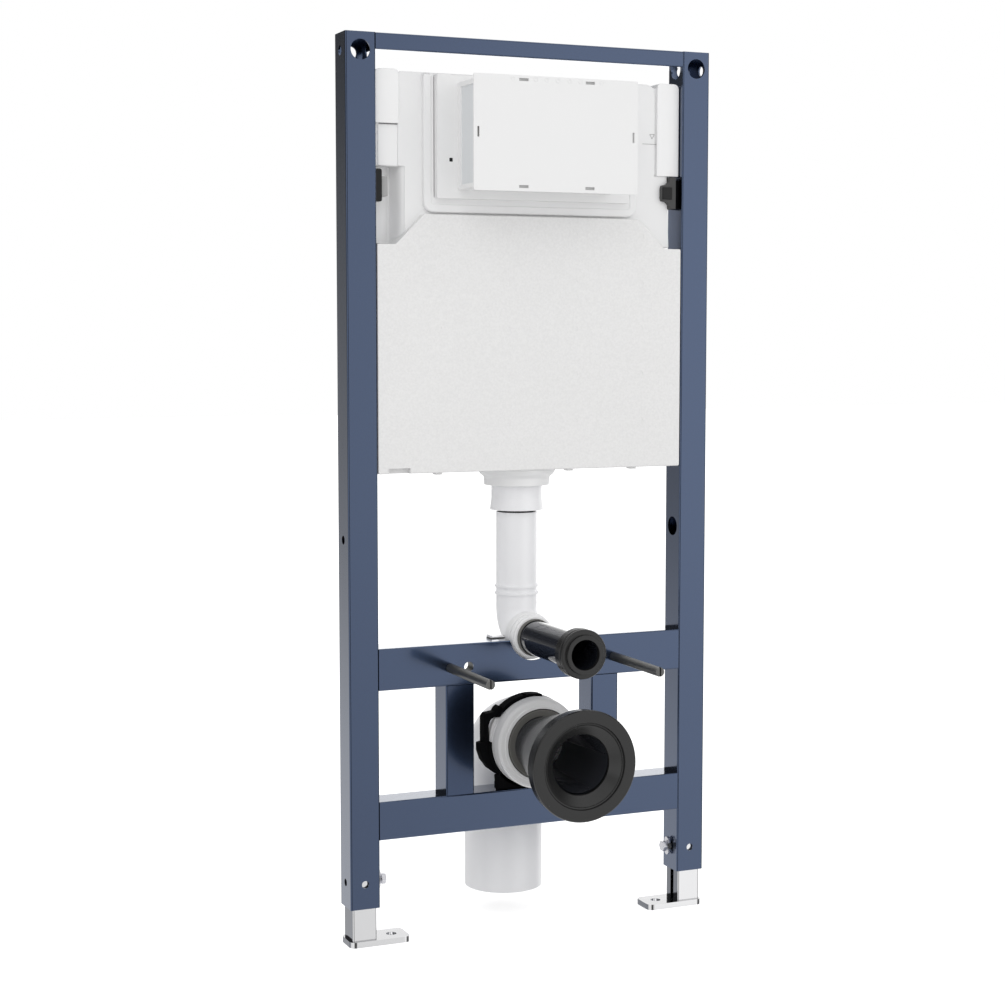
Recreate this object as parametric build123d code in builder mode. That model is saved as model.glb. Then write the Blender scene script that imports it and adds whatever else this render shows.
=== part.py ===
from build123d import *
import os

os.makedirs("parts", exist_ok=True)

# Steel frame. Heights are measured up from the finished floor,
# depths back from the front faces of the posts, and x from the middle.
frame_width = 500
post_width = 39
post_depth = 40
post_length = 1084.5
tube_wall = 2
tube_corner = 2
top_rail_height = 20
stud_rail_height = 53
stud_rail_wall = 2.5
lower_rail_height = 49
upright_width = 38.5
upright_spacing = 204
notch_radius = 33

# The pan's outlet, and how far the rest of the pan's side lies above or below it
waste_height = 242.3
stud_rise = 105.1
stud_rail_rise = 82.2
notch_rise = 140.7
flush_rise = 137.7
lower_rail_drop = 58.8

# Feet that slide in the posts
leg_extension = 41.5
leg_inside = 258
leg_wall = 2
leg_clearance = 1.5
plate_thickness = 7.5
plate_width = 80.5
plate_chamfer = 3.5
plate_hole = 13
plate_hole_inset = 60.5

# Holes of the posts
anchor_hole = 25
anchor_rear_hole = 16
anchor_side_hole = 12
anchor_hole_drop = 21.5
middle_hole_height = 514
middle_inner_hole = 25
middle_outer_hole = 11
foot_hole_height = 80.5
foot_hole = 9.5

# Lock bolts of the feet
lock_bolt_size = 8
lock_bolt_gap = 0.2
lock_slot_gap = 0.3
lock_tip_gap = 0.5
lock_nut_flats = 13
lock_nut_height = 4
lock_washer = 24
lock_washer_thickness = 1.6
lock_head_flats = 13
lock_head_height = 5.3

# Studs that carry the pan
stud_spacing = 230
bush_spacing = 180
bush_bore = 13
bush_wall = 2
bush_length = 17
stud_diameter = 12
stud_shank = 11.6
stud_shoulder = 0.5
stud_gap = 0.2
stud_reach = 131
stud_back = 24
stud_slot_width = 2
stud_slot_depth = 3
stud_chamfer = 1
stud_nut_flats = 18
stud_nut_height = 10

# Cistern
jacket_gap = 1
jacket_bottom = 595.5
jacket_side_top = 879
jacket_notch_inset = 24
jacket_top = 916.5
jacket_top_width = 297
jacket_edge = 5
tank_depth = 112
tank_face_depth = 11
tank_front_inset = 32
tank_shoulder_depth = 38
tank_top = 1090
tank_corner = 14
ear_width = 31.7
ear_face_depth = 8.5
ear_corner = 6
ear_top = 1092
left_ear_bottom = 1026.5
right_ear_bottom = 973
column_inset = 18.5
column_depth = 22.5
column_width = 26.5
column_bottom = 975

# Lip round the service opening and the plate inside it
lip_width = 294
lip_bottom = 919
lip_band = 11
lip_corner = 15
lip_face_depth = 6
panel_width = 265
panel_bottom = 936
panel_top = 1087.5
panel_face_depth = -3
panel_hole = 4.5
panel_hole_x = -114
panel_hole_height = 983.5

# Service box and its cover
box_width = 210.5
box_bottom = 946.5
box_top = 1078
box_wall = 2.5
cover_width = 221.5
cover_bottom = 942.5
cover_top = 1082
cover_thickness = 3
cover_face_depth = -69
cover_slot_length = 12.6
cover_slot_width = 2.6
cover_slot_spacing = 89.5
cover_slot_inset = 5.3

# Clips between the tank and the posts
clip_middle = 950.5
clip_height = 40
clip_thickness = 8
clip_front_depth = 5
clip_length = 27
clip_nose_length = 24
clip_nose_height = 24
clip_nose_depth = 14

# Flush line
flush_axis_depth = 55.5
flush_diameter = 53.5
flush_wall = 4
flush_bend_radius = 33
flush_top = 538
flush_end_depth = 13
spigot_top = 564
spigot_diameter = 47
spigot_wall = 3
rib_diameter = 58
rib_height = 2.5
rib_rises = (50.5, 60)
boss_bottom = 573.5
boss_diameter = 87
boss_shoulder = 584
boss_flare = 589
boss_top_diameter = 101.5
socket_diameter = 66
socket_bore = 50
socket_flare = 549
socket_lip_diameter = 70
socket_bottom = 541
socket_seal_height = 14
nut_front_depth = 9
nut_back_depth = 22
nut_diameter = 62
nut_step_diameter = 59.5
nut_mouth = 49.5
nut_gap = 0.25
tube_diameter = 44.5
tube_bore = 38.5
tube_back_depth = 18
tube_seal_gap = 0.1
flush_seal_front = 155
flush_seal_length = 25
flush_seal_diameter = 61.5
flush_seal_bore = 37
flush_seal_lip = 6
flush_seal_lip_width = 3
flush_seal_gap = 0.2
saddle_inner = 30
saddle_thickness = 2
saddle_front_depth = 24
saddle_length = 14
saddle_reach = 50
saddle_turn_up = 4

# Waste line
waste_axis_depth = 99.5
waste_diameter = 103.5
waste_wall = 4
waste_bend_radius = 55.5
waste_bottom = 32
socket_outer = 112
socket_inner = 104
socket_front = 18
ring_diameter = 117
ring_step_diameter = 115.4
ring_front = 24
ring_step = 10
ring_back = 2
ring_gap = 0.3
disc_diameter = 91
disc_gap = 0.3
pan_spigot_back = 8
neck_diameter = 72
neck_wall = 3
flare_diameter = 128
pan_seal_front = 155
pan_seal_length = 22
pan_seal_diameter = 139.5
pan_seal_back_diameter = 135
pan_seal_mouth = 106.5
pan_seal_bore = 80.5
pan_seal_land = 1.5
pan_seal_cone = 12.5
pan_seal_gap = 0.25
clamp_diameter = 122.5
clamp_front_depth = 3
clamp_length = 34
clamp_gap = 0.3
clamp_base_width = 104
clamp_base_height = 20.5
clamp_lug_reach = 67
clamp_lug_height = 42
clamp_lug_rise = -2.3
clamp_block_reach = 73
clamp_block_height = 38
clamp_block_rise = -34.3
clamp_lug_depth = 8
clamp_lug_length = 13

# Derived places
frame_height = plate_thickness + leg_extension + post_length
origin_height = frame_height - top_rail_height / 2
front = -post_depth
middle_y = front / 2
post_x = (frame_width - post_width) / 2
inner_x = frame_width / 2 - post_width
rail_length = 2 * inner_x
leg_width = post_width - 2 * (tube_wall + leg_clearance)
leg_depth = post_depth - 2 * (tube_wall + leg_clearance)
lower_rail_top = waste_height - lower_rail_drop
lower_rail_bottom = lower_rail_top - lower_rail_height
stud_rail_bottom = waste_height + stud_rail_rise
stud_rail_top = stud_rail_bottom + stud_rail_height
stud_height = waste_height + stud_rise
notch_height = waste_height + notch_rise
flush_height = waste_height + flush_rise
half_jacket = inner_x - jacket_gap
half_notch = half_jacket - jacket_notch_inset
half_top = jacket_top_width / 2
half_front = half_jacket - tank_front_inset
sides = (("left", -1), ("right", 1))


def level(height):
    """The z of a height above the floor."""
    return height - origin_height


def depth(distance):
    """The y of a distance behind the front faces of the posts."""
    return front + distance


def facing(x, y, z, direction):
    """A plane through a point with its normal along a direction."""
    return Plane(origin=(x, y, z), z_dir=direction)


def front_plane(distance):
    """The upright plane at a depth, whose negative side is the back."""
    return Plane.XZ.offset(-depth(distance))


def turned_flat(points, height):
    """A piece turned about a level axis, from (depth, radius) points."""
    with BuildPart() as piece:
        with BuildSketch(Plane.YZ):
            with BuildLine():
                Polyline(*[(depth(d), level(height) + r) for d, r in points], close=True)
            make_face()
        revolve(axis=Axis((0, 0, level(height)), (0, 1, 0)))
    return piece


def turned_upright(points):
    """A piece turned about the upright flush axis, from (radius, height) points."""
    with BuildPart() as piece:
        with BuildSketch(front_plane(flush_axis_depth)):
            with BuildLine():
                Polyline(*[(r, level(h)) for r, h in points], close=True)
            make_face()
        revolve(axis=Axis((0, depth(flush_axis_depth), 0), (0, 0, 1)))
    return piece


def save(piece, name):
    """Labels a finished piece and writes its STEP file."""
    piece.part.label = name
    export_step(piece.part, f"parts/{name}.step")


# Posts
anchor_z = level(frame_height - anchor_hole_drop)
middle_z = level(middle_hole_height)
foot_z = level(foot_hole_height)
for side, sign in sides:
    outer_face = sign * frame_width / 2
    inner_face = sign * inner_x
    outward = (sign, 0, 0)
    inward = (-sign, 0, 0)
    with BuildPart() as post:
        with BuildSketch(Plane.XY.offset(level(plate_thickness + leg_extension))):
            with Locations((sign * post_x, middle_y)):
                RectangleRounded(post_width, post_depth, tube_corner)
                Rectangle(post_width - 2 * tube_wall, post_depth - 2 * tube_wall, mode=Mode.SUBTRACT)
        extrude(amount=post_length)
        with Locations(facing(sign * post_x, front, anchor_z, (0, -1, 0))):
            Hole(anchor_hole / 2, depth=2 * tube_wall)
        with Locations(facing(sign * post_x, 0, anchor_z, (0, 1, 0))):
            Hole(anchor_rear_hole / 2, depth=2 * tube_wall)
        with Locations(facing(inner_face, middle_y, anchor_z, inward)):
            Hole(anchor_hole / 2, depth=2 * tube_wall)
        with Locations(facing(outer_face, middle_y, anchor_z, outward)):
            Hole(anchor_side_hole / 2, depth=2 * tube_wall)
        with Locations(facing(inner_face, middle_y, middle_z, inward)):
            Hole(middle_inner_hole / 2, depth=2 * tube_wall)
        with Locations(facing(outer_face, middle_y, middle_z, outward)):
            Hole(middle_outer_hole / 2, depth=2 * tube_wall)
        with Locations(facing(sign * post_x, front, foot_z, (0, -1, 0))):
            Hole(foot_hole / 2, depth=2 * tube_wall)
        with Locations(facing(outer_face, middle_y, foot_z, outward)):
            Hole(foot_hole / 2, depth=2 * tube_wall)
        with Locations(facing(inner_face, middle_y, foot_z, inward)):
            Hole(lock_bolt_size / 2 + lock_bolt_gap, depth=2 * tube_wall)
    save(post, f"{side}_post")

# Rails between the posts: the outer two are closed tubes, the stud rail is open behind
for name, bottom, height in (
    ("top_rail", frame_height - top_rail_height, top_rail_height),
    ("lower_rail", lower_rail_bottom, lower_rail_height),
):
    with BuildPart() as rail:
        with BuildSketch(Plane.YZ.offset(-inner_x)):
            with Locations((middle_y, level(bottom + height / 2))):
                RectangleRounded(post_depth, height, tube_corner)
                Rectangle(post_depth - 2 * tube_wall, height - 2 * tube_wall, mode=Mode.SUBTRACT)
        extrude(amount=rail_length)
    save(rail, name)

stud_z = level(stud_height)
with BuildPart() as stud_rail:
    with BuildSketch(Plane.YZ.offset(-inner_x)):
        with Locations((middle_y, level(stud_rail_bottom + stud_rail_height / 2))):
            Rectangle(post_depth, stud_rail_height)
        with Locations((middle_y + stud_rail_wall, level(stud_rail_bottom + stud_rail_height / 2))):
            Rectangle(post_depth, stud_rail_height - 2 * stud_rail_wall, mode=Mode.SUBTRACT)
    extrude(amount=rail_length)
    fillet(stud_rail.faces().sort_by(Axis.Y)[0].edges().filter_by(Axis.X), tube_corner)
    with BuildSketch(front_plane(0)):
        with Locations((0, stud_z)):
            with GridLocations(stud_spacing, 0, 2, 1):
                Circle(stud_shank / 2 + stud_gap)
            with GridLocations(bush_spacing, 0, 2, 1):
                Circle(bush_bore / 2)
        with Locations((0, level(notch_height))):
            Circle(notch_radius)
    extrude(amount=-post_depth, mode=Mode.SUBTRACT)
save(stud_rail, "stud_rail")

# Uprights between the lower rail and the stud rail
for side, sign in sides:
    with BuildPart() as upright:
        with BuildSketch(Plane.XY.offset(level(lower_rail_top))):
            with Locations((sign * upright_spacing / 2, middle_y)):
                RectangleRounded(upright_width, post_depth, tube_corner)
                Rectangle(upright_width - 2 * tube_wall, post_depth - 2 * tube_wall, mode=Mode.SUBTRACT)
        extrude(amount=stud_rail_bottom - lower_rail_top)
    save(upright, f"{side}_upright")

# Legs with a slot along the inner side, and their foot plates
slot_width = lock_bolt_size + 2 * lock_slot_gap
for side, sign in sides:
    with BuildPart() as leg:
        with BuildSketch(Plane.XY.offset(level(plate_thickness))):
            with Locations((sign * post_x, middle_y)):
                RectangleRounded(leg_width, leg_depth, tube_corner)
                Rectangle(leg_width - 2 * leg_wall, leg_depth - 2 * leg_wall, mode=Mode.SUBTRACT)
            with Locations((sign * (post_x - leg_width / 2), middle_y)):
                Rectangle(4 * leg_wall, slot_width, mode=Mode.SUBTRACT)
        extrude(amount=leg_extension + leg_inside)
    save(leg, f"{side}_leg")

    with BuildPart() as foot_plate:
        with BuildSketch(Plane.XY.offset(level(0))):
            with Locations((sign * (frame_width - plate_width) / 2, middle_y)):
                Rectangle(plate_width, post_depth)
            chamfer(vertices(), plate_chamfer)
            with Locations((sign * (frame_width / 2 - plate_hole_inset), middle_y)):
                Circle(plate_hole / 2, mode=Mode.SUBTRACT)
        extrude(amount=plate_thickness)
    save(foot_plate, f"{side}_foot_plate")

# Lock bolts and their weld nuts on the inner faces of the posts
lock_tip_x = frame_width / 2 - tube_wall - leg_clearance - leg_wall - lock_tip_gap
lock_shank = lock_tip_x - inner_x + lock_nut_height
for side, sign in sides:
    nut_plane = facing(sign * inner_x, middle_y, foot_z, (-sign, 0, 0))
    with BuildPart() as lock_nut:
        with BuildSketch(nut_plane):
            RegularPolygon(lock_nut_flats / 2, 6, major_radius=False)
            Circle(lock_bolt_size / 2 + lock_bolt_gap, mode=Mode.SUBTRACT)
        extrude(amount=lock_nut_height)
    save(lock_nut, f"{side}_lock_nut")

    washer_plane = nut_plane.offset(lock_nut_height)
    with BuildPart() as lock_bolt:
        with BuildSketch(washer_plane):
            Circle(lock_washer / 2)
        extrude(amount=lock_washer_thickness)
        with BuildSketch(washer_plane.offset(lock_washer_thickness)):
            RegularPolygon(lock_head_flats / 2, 6, major_radius=False)
        extrude(amount=lock_head_height)
        with BuildSketch(washer_plane):
            Circle(lock_bolt_size / 2)
        extrude(amount=-lock_shank)
    save(lock_bolt, f"{side}_lock_bolt")

# Pan studs, the nuts behind the rail, and the two plain bushes beside them
for side, sign in sides:
    stud_x = sign * stud_spacing / 2
    with BuildPart() as pan_stud:
        with BuildSketch(facing(stud_x, depth(-stud_reach), stud_z, (0, 1, 0))):
            Circle(stud_diameter / 2)
        extrude(amount=stud_reach - stud_shoulder)
        with BuildSketch(facing(stud_x, depth(-stud_shoulder), stud_z, (0, 1, 0))):
            Circle(stud_shank / 2)
        extrude(amount=stud_shoulder + stud_back)
        rims = pan_stud.edges().filter_by(GeomType.CIRCLE).group_by(Axis.Y)
        chamfer(rims[0] + rims[-1], stud_chamfer)
        with BuildSketch(front_plane(-stud_reach)):
            with Locations((stud_x, stud_z)):
                Rectangle(stud_slot_width, 2 * stud_diameter)
        extrude(amount=-stud_slot_depth, mode=Mode.SUBTRACT)
    save(pan_stud, f"{side}_pan_stud")

    with BuildPart() as stud_nut:
        with BuildSketch(facing(stud_x, depth(stud_rail_wall), stud_z, (0, 1, 0))):
            RegularPolygon(stud_nut_flats / 2, 6, major_radius=False)
            Circle(stud_shank / 2 + stud_gap, mode=Mode.SUBTRACT)
        extrude(amount=stud_nut_height)
    save(stud_nut, f"{side}_stud_nut")

    with BuildPart() as bush:
        with BuildSketch(facing(sign * bush_spacing / 2, depth(stud_rail_wall), stud_z, (0, 1, 0))):
            Circle(bush_bore / 2 + bush_wall)
            Circle(bush_bore / 2, mode=Mode.SUBTRACT)
        extrude(amount=bush_length)
    save(bush, f"{side}_bush")

# Cistern: the foam jacket round the lower half, with the boss over the outlet
with BuildPart() as foam_jacket:
    with BuildSketch(front_plane(0)):
        with BuildLine():
            Polyline(
                (-half_jacket, level(jacket_bottom)),
                (half_jacket, level(jacket_bottom)),
                (half_jacket, level(jacket_side_top)),
                (half_notch, level(jacket_side_top)),
                (half_top, level(jacket_top)),
                (-half_top, level(jacket_top)),
                (-half_notch, level(jacket_side_top)),
                (-half_jacket, level(jacket_side_top)),
                close=True,
            )
        make_face()
    extrude(amount=-tank_depth)
    rounded = foam_jacket.faces().sort_by(Axis.Y)[0].edges().sort_by(Axis.Z)[:-5]
    fillet(rounded, jacket_edge)
    with BuildSketch(front_plane(flush_axis_depth)):
        with BuildLine():
            Polyline(
                (0, level(boss_bottom)),
                (boss_diameter / 2, level(boss_bottom)),
                (boss_diameter / 2, level(boss_shoulder)),
                (boss_top_diameter / 2, level(boss_flare)),
                (boss_top_diameter / 2, level(jacket_bottom) + jacket_edge),
                (0, level(jacket_bottom) + jacket_edge),
                close=True,
            )
        make_face()
    revolve(axis=Axis((0, depth(flush_axis_depth), 0), (0, 0, 1)))
save(foam_jacket, "foam_jacket")

# Cistern: the smooth tank above the jacket, narrow in front and full width behind
lip_start = lip_bottom + lip_band
with BuildPart() as tank_body:
    for half, near, far in (
        (half_front, tank_face_depth, tank_shoulder_depth),
        (half_jacket, tank_shoulder_depth, tank_depth),
    ):
        slope = (jacket_top - jacket_side_top) / (half_notch - half_top)
        corner_height = max(jacket_side_top, jacket_side_top + (half_notch - half) * slope)
        with BuildSketch(front_plane(near)):
            with BuildLine():
                outline = [(half_top, level(jacket_top)), (half_notch, level(jacket_side_top))]
                if half < half_notch:
                    outline[1] = (half, level(corner_height))
                else:
                    outline.append((half, level(jacket_side_top)))
                outline.append((half, level(tank_top)))
                Polyline(*outline, *[(-x, z) for x, z in reversed(outline)], close=True)
            make_face()
        extrude(amount=near - far)
    upper = tank_body.edges().filter_by(Axis.Y).group_by(Axis.Z)[-1]
    fillet(upper.filter_by(lambda edge: edge.center().Y < depth(tank_shoulder_depth)), tank_corner)
    with BuildSketch(front_plane(tank_face_depth)):
        with Locations((0, level((lip_bottom + tank_top) / 2))):
            Rectangle(lip_width, tank_top - lip_bottom)
        with Locations((0, level((lip_start + tank_top) / 2))):
            Rectangle(lip_width - 2 * lip_band, tank_top - lip_start, mode=Mode.SUBTRACT)
    extrude(amount=tank_face_depth - lip_face_depth)
    lip_edges = tank_body.edges().filter_by(Axis.Y)
    lip_edges = lip_edges.filter_by(lambda edge: edge.center().Y < depth(tank_face_depth))
    fillet(lip_edges.group_by(Axis.Z)[0], lip_corner)
save(tank_body, "tank_body")

# Ears at the upper corners and the duct below the left one
for side, sign in sides:
    ear_bottom = left_ear_bottom if sign < 0 else right_ear_bottom
    with BuildPart() as ear:
        with BuildSketch(Plane.XY.offset(level(ear_bottom))):
            with Locations((sign * (half_jacket - ear_width / 2), depth((ear_face_depth + tank_shoulder_depth) / 2))):
                Rectangle(ear_width, tank_shoulder_depth - ear_face_depth)
        extrude(amount=ear_top - ear_bottom)
        ear_front = ear.faces().sort_by(Axis.Y)[0]
        fillet(ear.edges().filter_by(Axis.Y).group_by(Axis.Z)[-1], ear_corner)
    save(ear, f"{side}_ear")

column_x = column_inset - half_jacket
with BuildPart() as left_column:
    with BuildSketch(Plane.XY.offset(level(column_bottom))):
        with Locations((column_x, depth(column_depth))):
            Circle(column_width / 2)
        with Locations((column_x, depth((column_depth + tank_shoulder_depth) / 2))):
            Rectangle(column_width, tank_shoulder_depth - column_depth)
    extrude(amount=left_ear_bottom - column_bottom)
save(left_column, "left_column")

# Service opening: plate, box and cover
with BuildPart() as front_plate:
    with BuildSketch(front_plane(panel_face_depth)):
        with Locations((0, level((panel_bottom + panel_top) / 2))):
            Rectangle(panel_width, panel_top - panel_bottom)
        with Locations((panel_hole_x, level(panel_hole_height))):
            Rectangle(panel_hole, panel_hole, mode=Mode.SUBTRACT)
    extrude(amount=panel_face_depth - tank_face_depth)
save(front_plate, "front_plate")

box_height = box_top - box_bottom
box_middle = level((box_bottom + box_top) / 2)
cover_back_depth = cover_face_depth + cover_thickness
with BuildPart() as service_box:
    with BuildSketch(front_plane(cover_back_depth)):
        with Locations((0, box_middle)):
            Rectangle(box_width, box_height)
            Rectangle(box_width - 2 * box_wall, box_height - 2 * box_wall, mode=Mode.SUBTRACT)
    extrude(amount=cover_back_depth - panel_face_depth)
save(service_box, "service_box")

cover_height = cover_top - cover_bottom
cover_middle = level((cover_bottom + cover_top) / 2)
slot_x = cover_width / 2 - cover_slot_inset
slot_z = cover_height / 2 - cover_slot_inset
with BuildPart() as service_cover:
    with BuildSketch(front_plane(cover_face_depth)):
        with Locations((0, cover_middle)):
            Rectangle(cover_width, cover_height)
            with GridLocations(cover_slot_spacing, 2 * slot_z, 2, 2):
                Rectangle(cover_slot_length, cover_slot_width, mode=Mode.SUBTRACT)
            with GridLocations(2 * slot_x, 0, 2, 1):
                Rectangle(cover_slot_width, cover_slot_length, mode=Mode.SUBTRACT)
    extrude(amount=-cover_thickness)
save(service_cover, "service_cover")

# Clips between the tank and the posts
for side, sign in sides:
    with BuildPart() as clip:
        with BuildSketch(Plane.XY.offset(level(clip_middle - clip_height / 2))):
            with Locations((sign * (inner_x - clip_thickness / 2), depth(clip_front_depth + clip_length / 2))):
                Rectangle(clip_thickness, clip_length)
        extrude(amount=clip_height)
        nose_depth = tank_shoulder_depth - clip_nose_depth
        with BuildSketch(Plane.XY.offset(level(clip_middle - clip_nose_height / 2))):
            with Locations((sign * (inner_x - clip_nose_length / 2), depth(clip_nose_depth + nose_depth / 2))):
                Rectangle(clip_nose_length, nose_depth)
        extrude(amount=clip_nose_height)
    save(clip, f"{side}_clip")

# Flush line: socket, seal and the bent pipe
outlet_socket = turned_upright(
    (
        (socket_bore / 2, boss_bottom),
        (socket_diameter / 2, boss_bottom),
        (socket_diameter / 2, socket_flare),
        (socket_lip_diameter / 2, socket_bottom),
        (socket_bore / 2, socket_bottom),
    )
)
save(outlet_socket, "outlet_socket")

socket_seal = turned_upright(
    (
        (spigot_diameter / 2, flush_top),
        (socket_bore / 2, flush_top),
        (socket_bore / 2, flush_top + socket_seal_height),
        (spigot_diameter / 2, flush_top + socket_seal_height),
    )
)
save(socket_seal, "socket_seal")

flush_radius = flush_diameter / 2
with BuildPart() as flush_pipe:
    with BuildLine(Plane.YZ) as flush_path:
        flush_y = depth(flush_axis_depth)
        drop = Line((flush_y, level(flush_top)), (flush_y, level(flush_height + flush_bend_radius)))
        turn = JernArc(start=drop @ 1, tangent=drop % 1, radius=flush_bend_radius, arc_size=-90)
        Line(turn @ 1, (depth(flush_end_depth), level(flush_height)))
    with BuildSketch(Plane.XY.offset(level(flush_top))):
        with Locations((0, flush_y)):
            Circle(flush_radius)
            Circle(flush_radius - flush_wall, mode=Mode.SUBTRACT)
    sweep()
    for rise in rib_rises:
        with BuildSketch(Plane.XY.offset(level(flush_height + rise))):
            with Locations((0, flush_y)):
                Circle(rib_diameter / 2)
                Circle(flush_radius - flush_wall / 2, mode=Mode.SUBTRACT)
        extrude(amount=rib_height)
    with BuildSketch(Plane.XY.offset(level(flush_top) - flush_wall)):
        with Locations((0, flush_y)):
            Circle(spigot_diameter / 2)
            Circle(spigot_diameter / 2 - spigot_wall, mode=Mode.SUBTRACT)
    extrude(amount=spigot_top - flush_top + flush_wall)
save(flush_pipe, "flush_pipe")

# Flush line: ring nut, seal, straight tube and the seal against the pan
nut_step = (nut_front_depth + nut_back_depth) / 2
flush_nut = turned_flat(
    (
        (nut_front_depth, nut_mouth / 2),
        (nut_front_depth, nut_step_diameter / 2 - 1),
        (nut_front_depth + 1, nut_step_diameter / 2),
        (nut_step, nut_step_diameter / 2),
        (nut_step, nut_diameter / 2),
        (nut_back_depth, nut_diameter / 2),
        (nut_back_depth, flush_radius + nut_gap),
        (flush_end_depth, flush_radius + nut_gap),
        (flush_end_depth, nut_mouth / 2),
    ),
    flush_height,
)
save(flush_nut, "flush_nut")

tube_seal = turned_flat(
    (
        (nut_front_depth + 1, tube_diameter / 2 + tube_seal_gap),
        (nut_front_depth + 1, nut_mouth / 2 - tube_seal_gap),
        (flush_end_depth, nut_mouth / 2 - tube_seal_gap),
        (flush_end_depth, tube_diameter / 2 + tube_seal_gap),
    ),
    flush_height,
)
save(tube_seal, "tube_seal")

tube_front = flush_seal_front - flush_seal_lip
flush_tube = turned_flat(
    (
        (-tube_front, tube_bore / 2),
        (-tube_front, tube_diameter / 2),
        (tube_back_depth, tube_diameter / 2),
        (tube_back_depth, tube_bore / 2),
    ),
    flush_height,
)
save(flush_tube, "flush_tube")

flush_seal = turned_flat(
    (
        (-flush_seal_front, flush_seal_bore / 2),
        (-flush_seal_front, flush_seal_bore / 2 + flush_seal_lip_width),
        (-flush_seal_front + 1, flush_seal_bore / 2 + flush_seal_lip_width),
        (-flush_seal_front + 1, flush_seal_diameter / 2),
        (-flush_seal_front + flush_seal_length, flush_seal_diameter / 2),
        (-flush_seal_front + flush_seal_length, tube_diameter / 2 + flush_seal_gap),
        (-tube_front, tube_diameter / 2 + flush_seal_gap),
        (-tube_front, flush_seal_bore / 2),
    ),
    flush_height,
)
save(flush_seal, "flush_seal")

# Saddle that hangs the pipe in the notch of the rail
saddle_outer = saddle_inner + saddle_thickness
strap_z = level(flush_height)
with BuildPart() as pipe_saddle:
    with BuildSketch(front_plane(saddle_front_depth)):
        with Locations((0, strap_z)):
            Circle(saddle_outer)
            Circle(saddle_inner, mode=Mode.SUBTRACT)
        with Locations((0, level(stud_rail_top) + saddle_outer)):
            Rectangle(3 * saddle_outer, 2 * saddle_outer, mode=Mode.SUBTRACT)
        tab_width = saddle_reach - saddle_inner
        for sign in (-1, 1):
            with Locations((sign * (saddle_reach - tab_width / 2), level(stud_rail_top) + saddle_thickness / 2)):
                Rectangle(tab_width, saddle_thickness)
            with Locations((sign * (saddle_reach - saddle_thickness / 2), level(stud_rail_top) + saddle_turn_up / 2)):
                Rectangle(saddle_thickness, saddle_turn_up)
    extrude(amount=-saddle_length)
save(pipe_saddle, "pipe_saddle")

# Waste line: bend with its socket
waste_radius = waste_diameter / 2
socket_back = waste_axis_depth - waste_bend_radius
with BuildPart() as waste_bend:
    with BuildLine(Plane.YZ) as waste_path:
        waste_y = depth(waste_axis_depth)
        rise = Line((waste_y, level(waste_bottom)), (waste_y, level(waste_height - waste_bend_radius)))
        bend = JernArc(start=rise @ 1, tangent=rise % 1, radius=waste_bend_radius, arc_size=90)
        Line(bend @ 1, (depth(socket_back - waste_wall), level(waste_height)))
    with BuildSketch(Plane.XY.offset(level(waste_bottom))):
        with Locations((0, waste_y)):
            Circle(waste_radius)
            Circle(waste_radius - waste_wall, mode=Mode.SUBTRACT)
    sweep()
    with BuildSketch(Plane.YZ):
        with BuildLine():
            bore = waste_radius - waste_wall
            profile = (
                (-socket_front, socket_inner / 2),
                (-socket_front, socket_outer / 2),
                (socket_back, socket_outer / 2),
                (socket_back, bore),
                (socket_back - 2 * waste_wall, bore),
                (socket_back - 2 * waste_wall, socket_inner / 2),
            )
            Polyline(*[(depth(d), level(waste_height) + r) for d, r in profile], close=True)
        make_face()
    revolve(axis=Axis((0, 0, level(waste_height)), (0, 1, 0)))
save(waste_bend, "waste_bend")

waste_ring = turned_flat(
    (
        (-ring_front, disc_diameter / 2 + ring_gap),
        (-ring_front, ring_diameter / 2 - 2),
        (-ring_front + 2, ring_diameter / 2),
        (-ring_step, ring_diameter / 2),
        (-ring_step, ring_step_diameter / 2),
        (-ring_back, ring_step_diameter / 2),
        (-ring_back, socket_outer / 2 + ring_gap),
        (-socket_front, socket_outer / 2 + ring_gap),
        (-socket_front, disc_diameter / 2 + ring_gap),
    ),
    waste_height,
)
save(waste_ring, "waste_ring")

# Waste line: the clamp that stands on the lower rail
clamp_bore = socket_outer / 2 + clamp_gap
with BuildPart() as waste_clamp:
    with BuildSketch(front_plane(clamp_front_depth)):
        with Locations((0, level(waste_height))):
            Circle(clamp_diameter / 2)
        with Locations((0, level(lower_rail_top + clamp_base_height / 2))):
            Rectangle(clamp_base_width, clamp_base_height)
        with Locations((0, level(lower_rail_top) - clamp_diameter / 2)):
            Rectangle(clamp_diameter, clamp_diameter, mode=Mode.SUBTRACT)
    extrude(amount=-clamp_length)
    with BuildSketch(front_plane(clamp_lug_depth)):
        with Locations((0, level(waste_height + clamp_lug_rise + clamp_lug_height / 2))):
            Rectangle(2 * clamp_lug_reach, clamp_lug_height)
        with Locations((0, level(waste_height + clamp_block_rise + clamp_block_height / 2))):
            Rectangle(2 * clamp_block_reach, clamp_block_height)
    extrude(amount=-clamp_lug_length)
    with BuildSketch(front_plane(clamp_front_depth)):
        with Locations((0, level(waste_height))):
            Circle(clamp_bore)
    extrude(amount=-clamp_length, mode=Mode.SUBTRACT)
save(waste_clamp, "waste_clamp")

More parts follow.
